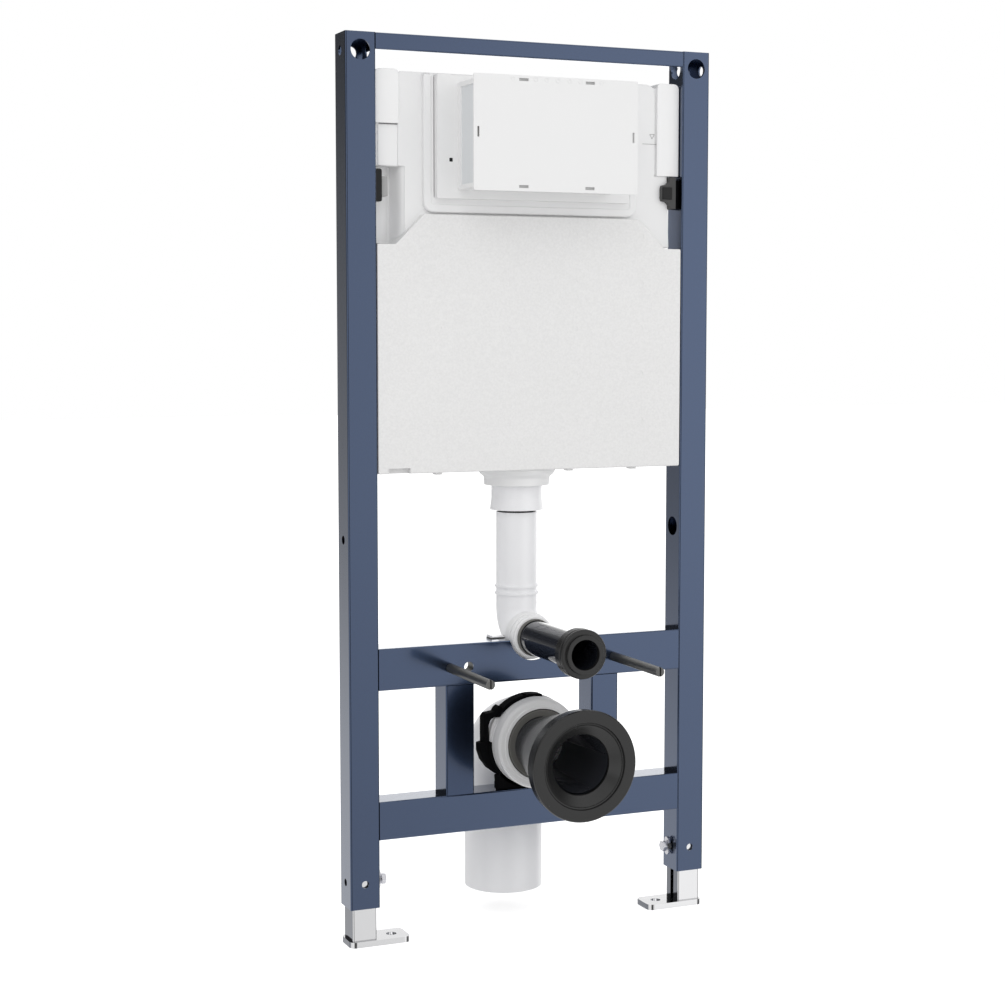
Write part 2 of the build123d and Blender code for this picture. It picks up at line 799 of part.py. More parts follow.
# Waste line: connector to the pan and its seal
seal_back = pan_seal_front - pan_seal_length
cone_end = pan_seal_front - pan_seal_land - pan_seal_cone
pan_bore = pan_seal_bore / 2 - pan_seal_gap - neck_wall
spigot_radius = socket_inner / 2 - disc_gap
with BuildPart() as pan_connector:
    with BuildSketch(Plane.YZ):
        with BuildLine():
            axis_z = level(waste_height)
            outer = Polyline(
                (depth(pan_spigot_back), axis_z + spigot_radius - neck_wall),
                (depth(pan_spigot_back), axis_z + spigot_radius),
                (depth(-socket_front), axis_z + spigot_radius),
                (depth(-socket_front), axis_z + disc_diameter / 2),
                (depth(-ring_front), axis_z + disc_diameter / 2),
                (depth(-ring_front), axis_z + neck_diameter / 2),
            )
            flare = Spline(
                outer @ 1,
                (depth(-seal_back), axis_z + flare_diameter / 2),
                tangents=((-1, 0.22), (-1, 0.32)),
            )
            nose = Polyline(
                flare @ 1,
                (depth(-seal_back), axis_z + pan_seal_bore / 2 - pan_seal_gap),
                (depth(-cone_end), axis_z + pan_seal_bore / 2 - pan_seal_gap),
                (depth(-cone_end), axis_z + pan_bore),
                (depth(-ring_front + neck_wall), axis_z + neck_diameter / 2 - neck_wall),
                (depth(-socket_front + neck_wall), axis_z + neck_diameter / 2 - neck_wall),
                (depth(-socket_front + neck_wall), axis_z + spigot_radius - neck_wall),
                outer @ 0,
            )
        make_face()
    revolve(axis=Axis((0, 0, level(waste_height)), (0, 1, 0)))
save(pan_connector, "pan_connector")

pan_seal = turned_flat(
    (
        (-pan_seal_front, pan_seal_mouth / 2),
        (-pan_seal_front, pan_seal_diameter / 2 - 1),
        (-pan_seal_front + 1, pan_seal_diameter / 2),
        (-seal_back, pan_seal_back_diameter / 2),
        (-seal_back, pan_seal_bore / 2),
        (-cone_end, pan_seal_bore / 2),
        (-pan_seal_front + pan_seal_land, pan_seal_mouth / 2),
    ),
    waste_height,
)
save(pan_seal, "pan_seal")
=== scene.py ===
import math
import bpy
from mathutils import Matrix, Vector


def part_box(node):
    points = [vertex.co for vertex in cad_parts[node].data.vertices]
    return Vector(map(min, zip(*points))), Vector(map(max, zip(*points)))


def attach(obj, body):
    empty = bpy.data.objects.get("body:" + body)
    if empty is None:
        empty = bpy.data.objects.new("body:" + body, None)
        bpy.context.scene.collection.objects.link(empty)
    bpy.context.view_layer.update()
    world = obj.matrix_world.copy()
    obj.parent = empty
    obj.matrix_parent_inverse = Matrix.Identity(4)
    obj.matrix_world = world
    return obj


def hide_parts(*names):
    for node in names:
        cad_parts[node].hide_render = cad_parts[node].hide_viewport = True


bl_info = {
    "name": "Wall hung toilet frame",
    "version": (1, 0, 0),
    "blender": (4, 5, 0),
    "location": "3D View > Sidebar > Toilet frame",
    "description": "Dresses a wall hung toilet frame in its paint, foam, plastic, zinc and rubber",
    "category": "Object",
}

import bpy
from bpy.props import FloatProperty, FloatVectorProperty, PointerProperty
from mathutils import Vector

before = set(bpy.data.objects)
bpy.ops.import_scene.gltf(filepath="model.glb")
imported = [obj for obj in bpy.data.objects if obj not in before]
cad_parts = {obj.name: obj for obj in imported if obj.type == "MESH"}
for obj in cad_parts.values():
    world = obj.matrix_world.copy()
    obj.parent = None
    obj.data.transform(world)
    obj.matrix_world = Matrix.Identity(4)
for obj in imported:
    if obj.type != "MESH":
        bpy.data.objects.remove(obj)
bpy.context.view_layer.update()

MM = 0.001
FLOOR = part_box("left_foot_plate")[0].z
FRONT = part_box("left_post")[0].y
CAMERA_PLACE = (-1.02465, -2.33077, -0.3516)
CAMERA_TURN = (math.pi / 2 - 0.0866624, 0, -0.404591)
WHITE = (1, 1, 1, 1)
FLOOR_GLOW = 0.62

# Axes of the pipes and bolts, in mm above the floor or behind the front of the posts.
FLUSH_HEIGHT = 380
FLUSH_DEPTH = 55.5
RING_HEIGHT = 245
WASTE_HEIGHT = 242.3
BOLT_HEIGHT = 80.5
FOOT_DEPTH = 20

# Half widths, in mm.
CISTERN = 210
TANK_SIDE = 209.7
PLATE = 132.5
BOX = 105.25
COVER = 110.75

# White of the room that is mirrored, by degrees to the right of straight in front. The last
# value is 1 where the dark wall behind to the left is seen, whose white goes by height instead.
ROOM_LIGHT = (
    (-180, 0.85, 0),
    (-173, 0.5, 0),
    (-166, 0.3, 1),
    (-90, 0.3, 1),
    (-75, 1.1, 0),
    (-30, 1.1, 0),
    (-20, 0.1, 0),
    (7, 0.1, 0),
    (12, 0.95, 0),
    (20, 1.0, 0),
    (27, 1.25, 0),
    (38, 1.25, 0),
    (45, 0.15, 0),
    (92, 0.15, 0),
    (102, 1.7, 0),
    (165, 1.7, 0),
    (167, 0.85, 0),
    (180, 0.85, 0),
)
# By the height of the mirrored direction: share of the above, white of the dark wall, evenness.
HEIGHT_LIGHT = (
    (-0.8, 1.0, 1.0, 1),
    (-0.45, 0.72, 1.0, 0),
    (-0.34, 0.74, 0.96, 0),
    (-0.21, 0.85, 0.8, 0),
    (-0.09, 0.96, 0.4, 0),
    (0.0, 1.0, 0.27, 0),
    (0.16, 1.0, 0.06, 0),
    (0.2, 0.85, 0.05, 0),
    (0.27, 0.52, 0.05, 0),
    (0.34, 0.48, 0.05, 0),
    (0.5, 0.7, 0.4, 0.2),
    (0.8, 1.0, 1.0, 1),
)


# Places and outlines. Heights are above the floor, depths behind the front of the posts, in mm.


def at(x, depth, height):
    """The place of a point in the frame's own metres."""
    return Vector((x * MM, FRONT + depth * MM, FLOOR + height * MM))


def softened(corners, steps=5):
    """A closed line through corners (a, b) or (a, b, radius), with an arc for each radius."""
    line = []
    for i, corner in enumerate(corners):
        here = Vector(corner[:2])
        if len(corner) < 3:
            line.append(tuple(here))
            continue
        before = Vector(corners[i - 1][:2]) - here
        after = Vector(corners[(i + 1) % len(corners)][:2]) - here
        reach = corner[2] / math.tan(before.angle(after) / 2)
        reach = min(reach, 0.49 * before.length, 0.49 * after.length)
        first = here + before.normalized() * reach
        last = here + after.normalized() * reach
        for step in range(steps + 1):
            t = step / steps
            line.append(tuple(first * (1 - t) ** 2 + here * 2 * t * (1 - t) + last * t**2))
    return line


def card(half, low, high, radius):
    """A rectangle about the middle with rounded corners, as (x, height) points."""
    corners = ((-half, low), (half, low), (half, high), (-half, high))
    return softened([(*corner, radius) for corner in corners])


# Modelling by hand: each of these starts from a primitive and shapes it in edit mode.


def pick_only(*pieces):
    """Selects these pieces alone, with the last one active."""
    bpy.ops.object.select_all(action="DESELECT")
    for piece in pieces:
        piece.select_set(True)
        bpy.context.view_layer.objects.active = piece


def open_edit(piece):
    """Opens one piece in edit mode with all of its corners selected."""
    pick_only(piece)
    bpy.ops.object.mode_set(mode="EDIT")
    bpy.ops.mesh.select_mode(type="VERT")
    bpy.ops.mesh.select_all(action="SELECT")


def close_edit():
    bpy.ops.object.mode_set(mode="OBJECT")


def outline_piece(name, places):
    """A closed line through places, as a circle whose corners are moved there."""
    bpy.ops.object.select_all(action="DESELECT")
    bpy.ops.mesh.primitive_circle_add(vertices=len(places), radius=MM)
    piece = bpy.context.object
    piece.name = name
    for corner, place in zip(piece.data.vertices, places):
        corner.co = place
    return piece


def pushed(name, places, push):
    """A solid from a flat outline, extruded along a vector."""
    piece = outline_piece(name, places)
    open_edit(piece)
    bpy.ops.mesh.edge_face_add()
    bpy.ops.mesh.extrude_region_move(TRANSFORM_OT_translate={"value": push})
    bpy.ops.mesh.select_all(action="SELECT")
    bpy.ops.mesh.normals_make_consistent(inside=False)
    close_edit()
    return piece


def slab(name, outline, near, far):
    """A solid with an outline of (x, height) points between two depths."""
    places = [at(x, near, height) for x, height in outline]
    return pushed(name, places, (0, (far - near) * MM, 0))


def pillar(name, outline, low, high):
    """A solid with an outline of (x, depth) points between two heights."""
    places = [at(x, depth, low) for x, depth in outline]
    return pushed(name, places, (0, 0, (high - low) * MM))


def turned(name, places, centre, axis, steps=96):
    """A closed section spun all the way round an axis."""
    piece = outline_piece(name, places)
    open_edit(piece)
    bpy.ops.mesh.spin(steps=steps, angle=math.tau, center=centre, axis=axis)
    bpy.ops.mesh.select_all(action="SELECT")
    bpy.ops.mesh.remove_doubles(threshold=2e-6)
    bpy.ops.mesh.normals_make_consistent(inside=False)
    close_edit()
    return piece


def turned_level(name, section, height, steps=96):
    """A piece turned about a level axis from (depth, radius) points."""
    places = [at(0, depth, height + radius) for depth, radius in section]
    return turned(name, places, at(0, 0, height), (0, 1, 0), steps)


def turned_upright(name, section, depth, steps=96):
    """A piece turned about an upright axis from (radius, height) points."""
    places = [at(radius, depth, height) for radius, height in section]
    return turned(name, places, at(0, depth, 0), (0, 0, 1), steps)


def finish_modifier(piece, kind, **settings):
    """Adds a modifier with its settings and applies it."""
    pick_only(piece)
    modifier = piece.modifiers.new(kind.lower(), kind)
    for key, value in settings.items():
        setattr(modifier, key, value)
    bpy.ops.object.modifier_apply(modifier=modifier.name)
    return piece


def rounded(piece, width, segments=3, angle=30):
    """Rounds every edge that is sharper than an angle."""
    return finish_modifier(
        piece,
        "BEVEL",
        width=width * MM,
        segments=segments,
        limit_method="ANGLE",
        angle_limit=math.radians(angle),
        miter_outer="MITER_ARC",
        use_clamp_overlap=True,
    )


def cut(piece, *cutters):
    """Takes cutters away from a piece."""
    for cutter in cutters:
        finish_modifier(piece, "BOOLEAN", operation="DIFFERENCE", solver="EXACT", object=cutter)
        bpy.data.objects.remove(cutter)
    return piece


def joined(name, *parts):
    """Several solids as one piece."""
    pick_only(*parts)
    bpy.context.view_layer.objects.active = parts[0]
    if len(parts) > 1:
        bpy.ops.object.join()
    piece = bpy.context.object
    piece.name = name
    return piece


def smooth(piece, angle=35):
    """Shades a piece smooth, but for edges that are sharper than an angle."""
    pick_only(piece)
    bpy.ops.object.shade_smooth_by_angle(angle=math.radians(angle))


def settle(piece, finish, body="frame", stands_for=(), angle=35):
    """Gives a finished piece its material and body, and hides the node it stands for."""
    smooth(piece, angle)
    finish_modifier(piece, "WEIGHTED_NORMAL", keep_sharp=True)
    piece.data.name = piece.name
    piece.data.materials.clear()
    piece.data.materials.append(material(finish))
    if stands_for:
        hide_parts(*stands_for)
    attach(piece, body)
    return piece


def block(name, low, high):
    """A box between two corners (x, depth, height), from a cube scaled to size."""
    low, high = at(*low), at(*high)
    bpy.ops.object.select_all(action="DESELECT")
    bpy.ops.mesh.primitive_cube_add(size=1, location=(low + high) / 2, scale=high - low)
    bpy.ops.object.transform_apply(location=True, rotation=True, scale=True)
    piece = bpy.context.object
    piece.name = name
    return piece


def peg(name, centre, radius, length, axis, sides=32):
    """A round bar about an axis letter, with its middle at a place (x, depth, height)."""
    turn = {"X": (0, math.pi / 2, 0), "Y": (math.pi / 2, 0, 0), "Z": (0, 0, 0)}[axis]
    bpy.ops.object.select_all(action="DESELECT")
    bpy.ops.mesh.primitive_cylinder_add(
        vertices=sides, radius=radius * MM, depth=length * MM, location=at(*centre), rotation=turn
    )
    bpy.ops.object.transform_apply(location=True, rotation=True, scale=True)
    piece = bpy.context.object
    piece.name = name
    return piece


# Shader groups, each built once and placed in the materials that use it.


def new_group(name, inputs, outputs):
    """An empty shader group with its sockets, and its input and output nodes."""
    group = bpy.data.node_groups.new(name, "ShaderNodeTree")
    for label, kind, value in inputs:
        socket = group.interface.new_socket(label, in_out="INPUT", socket_type=kind)
        if value is not None:
            socket.default_value = value
    for label, kind in outputs:
        group.interface.new_socket(label, in_out="OUTPUT", socket_type=kind)
    return group, group.nodes.new("NodeGroupInput"), group.nodes.new("NodeGroupOutput")


def feed(tree, socket, value):
    """Gives an input a link where the value is an output, and else a constant."""
    if isinstance(value, bpy.types.NodeSocket):
        tree.links.new(value, socket)
    else:
        socket.default_value = value


def put(tree, kind, *given, **values):
    """A node in a tree, with its inputs in order, its properties and its inputs by name."""
    node = tree.nodes.new(kind)
    for key, value in values.items():
        if key[0].islower():
            setattr(node, key, value)
    for socket, value in zip(node.inputs, given):
        feed(tree, socket, value)
    for key, value in values.items():
        if key[0].isupper():
            feed(tree, node.inputs[key.replace("_", " ")], value)
    return node


def worked(tree, operation, *given):
    """The result of a maths node over outputs or constants."""
    return put(tree, "ShaderNodeMath", *given, operation=operation).outputs[0]


def make_grain_group():
    """Fine surface height and a slow drift, both from 0 to 1."""
    group, given, result = new_group(
        "surface_grain",
        (
            ("Vector", "NodeSocketVector", None),
            ("Grain Scale", "NodeSocketFloat", 500.0),
            ("Drift Scale", "NodeSocketFloat", 12.0),
        ),
        (("Height", "NodeSocketFloat"), ("Drift", "NodeSocketFloat")),
    )
    for label, scale, detail, roughness in (
        ("Height", "Grain Scale", 4.0, 0.6),
        ("Drift", "Drift Scale", 3.0, 0.5),
    ):
        noise = put(group, "ShaderNodeTexNoise", Detail=detail, Roughness=roughness)
        group.links.new(given.outputs["Vector"], noise.inputs["Vector"])
        group.links.new(given.outputs[scale], noise.inputs["Scale"])
        group.links.new(noise.outputs["Fac"], result.inputs[label])


def make_tone_group():
    """A colour made a little lighter and darker by a drift from 0 to 1."""
    group, given, result = new_group(
        "tone_drift",
        (
            ("Colour", "NodeSocketColor", None),
            ("Drift", "NodeSocketFloat", 0.5),
            ("Spread", "NodeSocketFloat", 0.05),
        ),
        (("Colour", "NodeSocketColor"),),
    )
    centred = worked(group, "SUBTRACT", given.outputs["Drift"], 0.5)
    spread = worked(group, "MULTIPLY_ADD", centred, given.outputs["Spread"], 1.0)
    colour_in = given.outputs["Colour"]
    scaled = put(group, "ShaderNodeVectorMath", colour_in, operation="SCALE", Scale=spread)
    group.links.new(scaled.outputs[0], result.inputs["Colour"])


def make_ridge_group():
    """Straight ridges across one direction, from 0 to 1, for moulded hatching."""
    group, given, result = new_group(
        "fine_ridges",
        (("Along", "NodeSocketFloat", 0.0), ("Pitch", "NodeSocketFloat", 0.001)),
        (("Height", "NodeSocketFloat"),),
    )
    count = worked(group, "DIVIDE", given.outputs["Along"], given.outputs["Pitch"])
    group.links.new(worked(group, "PINGPONG", count, 0.5), result.inputs["Height"])


class Finish:
    """A material under construction: its tree, its shader and the object coordinates.

    The tint names a colour of the panel, the spreads are how far colour and roughness drift, the
    scales are those of the fine grain and the drift, and the bump has a strength and a depth in mm.
    """

    def __init__(self, name, tint, spread, grain, drift, roughness, rough_spread, bump, depth):
        self.material = bpy.data.materials.new(name)
        self.material.use_nodes = True
        self.tree = self.material.node_tree
        self.shader = self.tree.nodes["Principled BSDF"]
        self.link = self.tree.links.new
        self.place = put(self.tree, "ShaderNodeTexCoord").outputs["Object"]
        self.grain = self.add_group(
            "surface_grain", Vector=self.place, Grain_Scale=grain, Drift_Scale=drift
        )
        drifting = self.grain.outputs["Drift"]
        tone = (*getattr(colours(), tint), 1)
        self.tone = self.add_group("tone_drift", Colour=tone, Spread=spread, Drift=drifting)
        self.link(self.tone.outputs["Colour"], self.shader.inputs["Base Color"])
        rough = put(
            self.tree,
            "ShaderNodeMapRange",
            Value=drifting,
            To_Min=roughness - rough_spread,
            To_Max=roughness + rough_spread,
        )
        self.link(rough.outputs["Result"], self.shader.inputs["Roughness"])
        self.bump = put(self.tree, "ShaderNodeBump", Strength=bump, Distance=depth * MM)
        self.link(self.grain.outputs["Height"], self.bump.inputs["Height"])
        self.link(self.bump.outputs["Normal"], self.shader.inputs["Normal"])

    def add_group(self, name, **values):
        """One of the shader groups, with links or constants on its inputs."""
        node = self.tree.nodes.new("ShaderNodeGroup")
        node.node_tree = bpy.data.node_groups[name]
        for key, value in values.items():
            feed(self.tree, node.inputs[key.replace("_", " ")], value)
        return node

    def set(self, **values):
        """Constants on the shader's own sockets."""
        for key, value in values.items():
            self.shader.inputs[key.replace("_", " ")].default_value = value
        return self


def colours():
    return bpy.context.scene.frame_colours


def sizes():
    return bpy.context.scene.frame_sizes


# Tint and roughness of each pale plastic.
PALE_PLASTICS = {
    "tank_white": ("tank", 0.42),
    "cover_white": ("cover", 0.5),
    "pipe_white": ("pipe", 0.3),
    "ring_white": ("ring", 0.36),
    # Painted light: a lighter copy of the tank white, so ears and column stay bright beside the
    # posts
    "ear_white": ("ear", 0.42),
    "nut_white": ("nut", 0.36),
    "slot_grey": ("slot", 0.5),
    "catch_grey": ("catches", 0.5),
    # Painted shade on the left clip's white stub; the level mark on the tank shares this grey
    "stub_grey": ("stub", 0.5),
}
# Tint, roughness, clear coat and shine of each dark plastic.
DARK_PLASTICS = {
    "clip_grey": ("clip", 0.5, 0.0, 0.2),
    "plain_black": ("black", 0.32, 0.0, 0.42),
    "clamp_black": ("black", 0.75, 0.0, 0.05),
    "disc_grey": ("disc", 0.4, 0.0, 0.3),
    "tube_black": ("tube", 0.05, 0.4, 0.5),
    "neck_grey": ("neck", 0.16, 0.0, 0.2),
}


def material(name):
    """A finish of this object, made the first time it is asked for."""
    if name in bpy.data.materials:
        return bpy.data.materials[name]
    if name in PALE_PLASTICS:
        return white_plastic(name, *PALE_PLASTICS[name])
    if name in DARK_PLASTICS:
        return dark_plastic(name, *DARK_PLASTICS[name])
    return OTHER_FINISHES[name]()


def powder_coat(name, coat):
    """Metallic powder coat: the blue sits in the reflection, so dark neighbours show in it."""
    paint = Finish(
        name,
        "paint",
        spread=0.08, grain=900, drift=6, roughness=0.2, rough_spread=0.03,
        bump=0.03, depth=0.12,
    )
    return paint.set(Metallic=1.0, Coat_Weight=coat, Coat_Roughness=0.1, Coat_IOR=1.5)


def make_blue_paint():
    return powder_coat("blue_paint", 1.0).material


def paint_shade_facing(finish, axis, tint):
    """Paints shade on the faces that look along an axis letter, as a darker colour of their own."""
    facing = put(finish.tree, "ShaderNodeTexCoord").outputs["Normal"]
    split = put(finish.tree, "ShaderNodeSeparateXYZ", facing)
    share = put(
        finish.tree,
        "ShaderNodeMapRange",
        interpolation_type="SMOOTHSTEP",
        Value=worked(finish.tree, "ABSOLUTE", split.outputs[axis]),
        From_Min=0.8,
        From_Max=0.97,
    )
    blend = put(
        finish.tree,
        "ShaderNodeMix",
        data_type="RGBA",
        Factor=share.outputs["Result"],
        A=finish.tone.outputs["Colour"],
        B=(*tint, 1),
    )
    finish.link(blend.outputs["Result"], finish.shader.inputs["Base Color"])


def make_shaded_upright_paint():
    """The same coat where it sits behind the rails, with its front painted darker as painted shade
    and reflection.
    """
    paint = powder_coat("upright_paint", 0.7)
    paint_shade_facing(paint, "Y", colours().shaded)
    return paint.material


def make_bright_zinc():
    """Bright plate on the webs, with the flanges and ends of the plates painted darker: painted
    shade for the dark room they mirror.
    """
    zinc = Finish(
        "bright_zinc",
        "zinc",
        spread=0.05, grain=260, drift=30, roughness=0.1, rough_spread=0.04,
        bump=0.03, depth=0.1,
    )
    # Painted shade on the faces that look sideways
    paint_shade_facing(zinc, "X", colours().painted_flange_shade)
    return zinc.set(Metallic=1.0).material


def make_bolt_zinc():
    zinc = Finish(
        "bolt_zinc",
        "bolt",
        spread=0.1, grain=700, drift=60, roughness=0.27, rough_spread=0.06,
        bump=0.06, depth=0.1,
    )
    return zinc.set(Metallic=1.0).material


def make_dark_plate():
    plate = Finish(
        "dark_plate",
        "stud",
        spread=0.15, grain=800, drift=40, roughness=0.42, rough_spread=0.06,
        bump=0.08, depth=0.1,
    )
    return plate.set(Metallic=0.9).material


def make_foam():
    """Fine grained foam: beads that show as shallow dimples and a faint mottle."""
    foam = Finish(
        "bead_foam",
        "foam",
        spread=0.03, grain=520, drift=9, roughness=0.62, rough_spread=0.06,
        bump=0.14, depth=0.5,
    )
    beads = put(foam.tree, "ShaderNodeTexVoronoi", Scale=300.0, Vector=foam.place)
    fine = foam.grain.outputs["Height"]
    both = worked(foam.tree, "MULTIPLY_ADD", beads.outputs["Distance"], 0.8, fine)
    foam.link(both, foam.bump.inputs["Height"])
    mottle = foam.add_group("surface_grain", Vector=foam.place, Grain_Scale=360)
    speckle = foam.add_group(
        "tone_drift",
        Spread=0.2,
        Drift=mottle.outputs["Height"],
        Colour=foam.tone.outputs["Colour"],
    )
    foam.link(speckle.outputs["Colour"], foam.shader.inputs["Base Color"])
    return foam.set(IOR=1.45).material


def make_hatched_shaded_white():
    """The box between plate and cover, with fine upright ridges moulded in its sides, which are
    painted darker and bluer than the cover as painted shade.
    """
    shell = Finish(
        "hatched_white",
        "hatch",
        spread=0.04, grain=420, drift=10, roughness=0.45, rough_spread=0.04,
        bump=0.25, depth=0.4,
    )
    split = put(shell.tree, "ShaderNodeSeparateXYZ", shell.place)
    ridges = shell.add_group("fine_ridges", Along=split.outputs["Y"], Pitch=0.006)
    shell.link(ridges.outputs["Height"], shell.bump.inputs["Height"])
    return shell.set(IOR=1.48).material


def white_plastic(name, tint, roughness):
    """Smooth pale plastic, with a tint of the panel and a roughness."""
    shell = Finish(
        name,
        tint,
        spread=0.03, grain=420, drift=10, roughness=roughness, rough_spread=0.04,
        bump=0.05, depth=0.15,
    )
    return shell.set(IOR=1.48).material


def dark_plastic(name, tint, roughness, coat, shine):
    """Smooth dark plastic, with a tint of the panel, a roughness, a clear coat and a shine."""
    shell = Finish(
        name,
        tint,
        spread=0.12, grain=500, drift=25, roughness=roughness, rough_spread=0.03,
        bump=0.04, depth=0.08,
    )
    shell.set(IOR=1.5, Coat_Weight=coat, Coat_Roughness=0.05, Specular_IOR_Level=shine)
    return shell.material


def make_seal_rubber():
    rubber = Finish(
        "seal_rubber",
        "rubber",
        spread=0.12, grain=900, drift=30, roughness=0.26, rough_spread=0.04,
        bump=0.06, depth=0.08,
    )
    return rubber.set(IOR=1.5).material


OTHER_FINISHES = {
    "blue_paint": make_blue_paint,
    "upright_paint": make_shaded_upright_paint,
    "bright_zinc": make_bright_zinc,
    "bolt_zinc": make_bolt_zinc,
    "dark_plate": make_dark_plate,
    "bead_foam": make_foam,
    "hatched_white": make_hatched_shaded_white,
    "seal_rubber": make_seal_rubber,
}


def dress(nodes, finish):
    """Puts a finish on the nodes of the CAD file that keep their own shape."""
    for name in nodes:
        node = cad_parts[name]
        node.data.materials.clear()
        node.data.materials.append(material(finish))
        smooth(node, 30)


def length(label, what, value):
    return FloatProperty(name=label, description=what, default=value, unit="LENGTH")


def colour(label, what, value):
    return FloatVectorProperty(
        name=label, description=what, default=value, subtype="COLOR", min=0, max=1
    )


class FrameSizes(bpy.types.PropertyGroup):
    jacket_edge: length("Jacket edge", "Rounding of the foam jacket's front edges", 0.0055)
    tank_edge: length("Tank edge", "Rounding of the tank's front edges", 0.007)
    dimple: length("Dimple", "Radius of the dimples on the jacket's front", 0.004)


class FrameColours(bpy.types.PropertyGroup):
    paint: colour("Paint", "Metallic coat of the posts and rails", (0.052, 0.082, 0.157))
    # Painted shade: darker front of the left upright, for its shade and the dark parts it mirrors
    shaded: colour("Shaded", "Front of the left upright", (0.042, 0.066, 0.128))
    zinc: colour("Zinc", "Plating of the legs and foot plates", (0.85, 0.85, 0.86))
    # Painted shade: darker sides of the legs, for the dark room they mirror
    painted_flange_shade: colour("Flange", "Plating on the sides of the legs", (0.19, 0.2, 0.225))
    bolt: colour("Bolt", "Plating of the lock bolts", (0.72, 0.72, 0.76))
    stud: colour("Stud", "Dark plating of the pan studs", (0.19, 0.19, 0.185))
    foam: colour("Foam", "Foam jacket of the cistern", (0.82, 0.817, 0.814))
    tank: colour("Tank", "Tank and boss", (0.87, 0.87, 0.872))
    # Painted light: lighter than the tank, to offset the shade beside the posts
    ear: colour("Ear", "Ears and column beside the tank", (0.93, 0.93, 0.93))
    cover: colour("Cover", "Service box, plate and cover", (0.87, 0.87, 0.87))
    pipe: colour("Pipe", "Flush pipe and waste bend", (0.9, 0.9, 0.915))
    ring: colour("Ring", "Ring of the waste socket", (0.66, 0.66, 0.665))
    nut: colour("Nut", "Nut of the flush line", (0.84, 0.84, 0.845))
    slot: colour("Slot", "Catch behind the cover's left slot", (0.16, 0.16, 0.155))
    catches: colour("Catches", "Catches behind the other slots", (0.5, 0.5, 0.5))
    # Painted shade: grey for the white stub of the left clip in its shade, shared by the level mark
    stub: colour("Stub", "Stub of the left clip", (0.42, 0.42, 0.42))
    clip: colour("Clip", "Frame of the right clip", (0.075, 0.075, 0.075))
    # Painted shade: the box's sides are a darker, bluer copy of the cover white
    hatch: colour("Hatch", "Sides of the service box", (0.74, 0.76, 0.775))
    # Also the colour of the painted shadow strip under the pipe saddle
    disc: colour("Disc", "Seal of the flush tube and the connector's root", (0.125, 0.123, 0.115))
    black: colour("Black", "Clips and waste clamp", (0.003, 0.003, 0.0035))
    tube: colour("Tube", "Flush tube", (0.014, 0.016, 0.022))
    neck: colour("Neck", "Pan connector", (0.026, 0.028, 0.034))
    rubber: colour("Rubber", "Seals", (0.015, 0.015, 0.015))


class StageSettings(bpy.types.PropertyGroup):
    lens: FloatProperty(name="Lens", description="Focal length in mm", default=70.525)
    ambient: FloatProperty(name="Ambient", description="Strength of the even light", default=0.96)
    key_power: FloatProperty(
        name="Key light", description="Power of the key light", default=8, unit="POWER"
    )
    floor_size: length("Floor", "Width of the floor", 30)


# Operators


class DressFrame(bpy.types.Operator):
    """Paint the posts, rails and uprights"""

    bl_idname = "toilet_frame.dress_frame"
    bl_label = "Posts and rails"

    def execute(self, context):
        names = ["left_post", "right_post", "top_rail", "stud_rail", "lower_rail"]
        dress(names + ["right_upright"], "blue_paint")
        # The left upright's front gets painted shade.
        dress(["left_upright"], "upright_paint")
        return {"FINISHED"}


class DressFeet(bpy.types.Operator):
    """Plate the legs and build the soles, lock bolts and nuts"""

    bl_idname = "toilet_frame.dress_feet"
    bl_label = "Feet"

    def execute(self, context):
        dress(["left_leg", "right_leg"], "bright_zinc")
        for side, sign in (("left", -1), ("right", 1)):
            near, far = sorted((sign * 169.5, sign * 250))
            outline = softened([(near, 0, 9), (far, 0, 9), (far, 40, 9), (near, 40, 9)], 10)
            plate = pillar(f"{side}_sole", outline, 0, 7.5)
            cut(plate, peg("bore", (sign * 189.5, FOOT_DEPTH, 4), 6.5, 20, "Z", 48))
            rounded(plate, 0.12, 2, 50)
            foot = f"{side}_foot"
            settle(plate, "bright_zinc", foot, [f"{side}_foot_plate"], 25)
            nut = self.hexagon(f"{side}_hex_nut", sign, 209.6, 206)
            settle(nut, "dark_plate", "frame", [f"{side}_lock_nut"])
            head = self.hexagon("head", sign, 203.8, 197.8)
            rounded(head, 0.5, 2, 50)
            parts = [head, peg("shank", (sign * 223, FOOT_DEPTH, BOLT_HEIGHT), 3.8, 41, "X")]
            for height in (73.8, 87.4):
                wing = peg("wing", (sign * 207, FOOT_DEPTH, height), 5.6, 3.6, "X", 24)
                parts.append(rounded(wing, 0.5, 2, 50))
            bolt = joined(f"{side}_hex_bolt", *parts)
            settle(bolt, "bolt_zinc", "frame", [f"{side}_lock_bolt"])
        return {"FINISHED"}

    def hexagon(self, name, sign, start, end):
        """A six sided block on the axis of a foot's bolt, between two distances from the middle."""
        middle = (sign * (start + end) / 2, FOOT_DEPTH, BOLT_HEIGHT)
        return peg(name, middle, 7.3, abs(start - end), "X", 6)


class DressStuds(bpy.types.Operator):
    """Plate the pan studs, their nuts and the bushes"""

    bl_idname = "toilet_frame.dress_studs"
    bl_label = "Pan studs"

    def execute(self, context):
        names = ["left_pan_stud", "right_pan_stud", "left_stud_nut", "right_stud_nut"]
        dress(names + ["left_bush", "right_bush"], "dark_plate")
        return {"FINISHED"}


